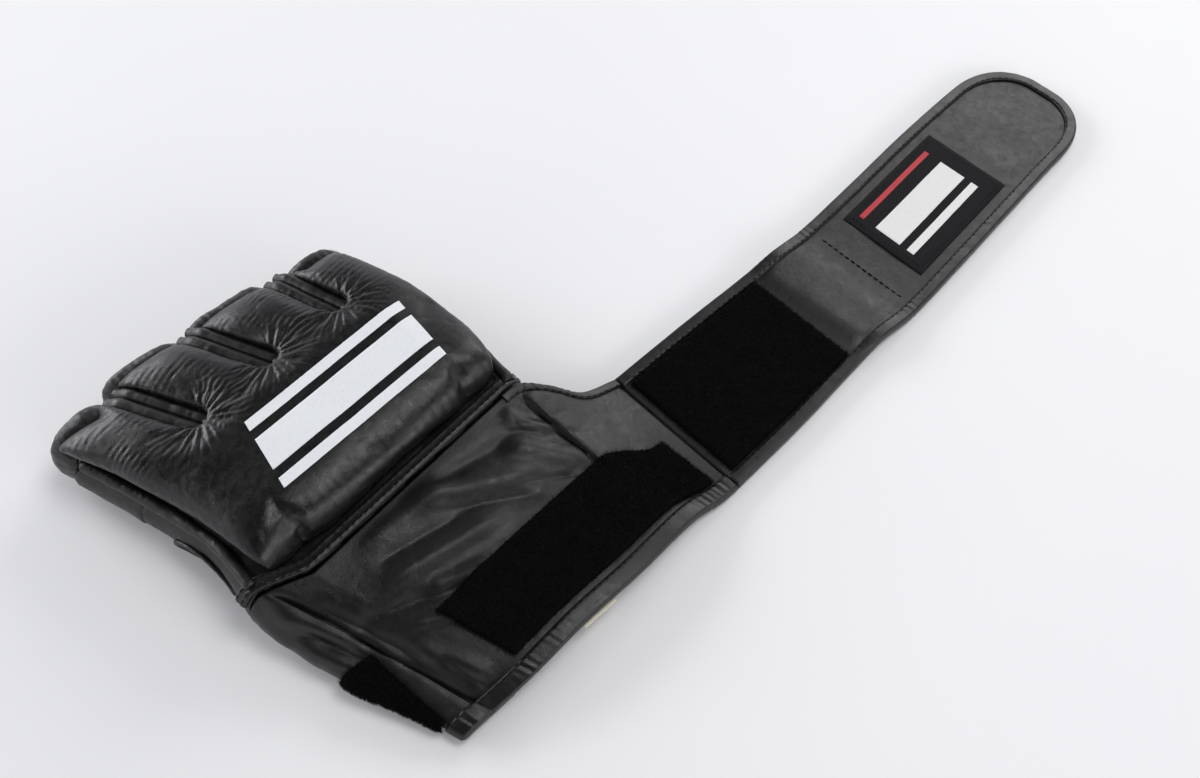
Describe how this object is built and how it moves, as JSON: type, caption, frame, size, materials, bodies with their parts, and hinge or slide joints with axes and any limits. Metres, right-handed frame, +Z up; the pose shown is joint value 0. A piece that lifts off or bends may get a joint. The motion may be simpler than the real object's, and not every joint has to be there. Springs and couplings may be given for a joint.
{
  "type": "mma glove",
  "caption": "Open-finger grappling glove for the right hand, palm down, with a padded back, an open cuff and its hook-and-loop wrist strap laid out flat.",
  "frame": {"origin": "on the floor, on the flat underside of the palm, under the middle of the palm", "axes": "+Z up from the floor, +Y towards the fingertips, +X towards the little finger and along the strap"},
  "size_m": [0.4745, 0.2005, 0.0412],
  "materials": {
    "pad_leather": "grained black leather with a soft sheen, drawn tight over foam",
    "soft_leather": "soft black leather with fine grain and creases",
    "binding": "thin folded black leather, gathered at its seams",
    "loop_pile": "black fuzzy loop pile",
    "hook_tape": "black hook tape",
    "woven_label": "closely woven black label with plain bars",
    "pale_tag": "pale woven tape"
  },
  "bodies": {
    "root": {"knuckle_pad": "pad_leather", "hand_shell": "soft_leather", "finger_sleeve_1": "soft_leather", "finger_sleeve_2": "soft_leather", "finger_sleeve_3": "soft_leather", "finger_sleeve_4": "soft_leather", "finger_rim_1": "binding", "finger_rim_2": "binding", "finger_rim_3": "binding", "finger_rim_4": "binding", "finger_roll_1": "binding", "finger_roll_2": "binding", "finger_roll_3": "binding", "side_roll_thumb": "soft_leather", "side_roll_pinky": "soft_leather", "thumb_binding": "binding", "wrist_seam_binding": "binding", "cuff_back_panel": "soft_leather", "cuff_side_panel": "soft_leather", "strap": "soft_leather", "edge_binding_cuff": "binding", "edge_binding_side": "binding", "edge_binding_strap": "binding", "edge_binding_notch": "binding", "cuff_loop_patch": "loop_pile", "strap_loop_patch": "loop_pile", "side_loop_patch": "loop_pile", "strap_hook_patch": "hook_tape", "label_patch": "woven_label", "care_tag": "pale_tag"}
  },
  "joints": []
}
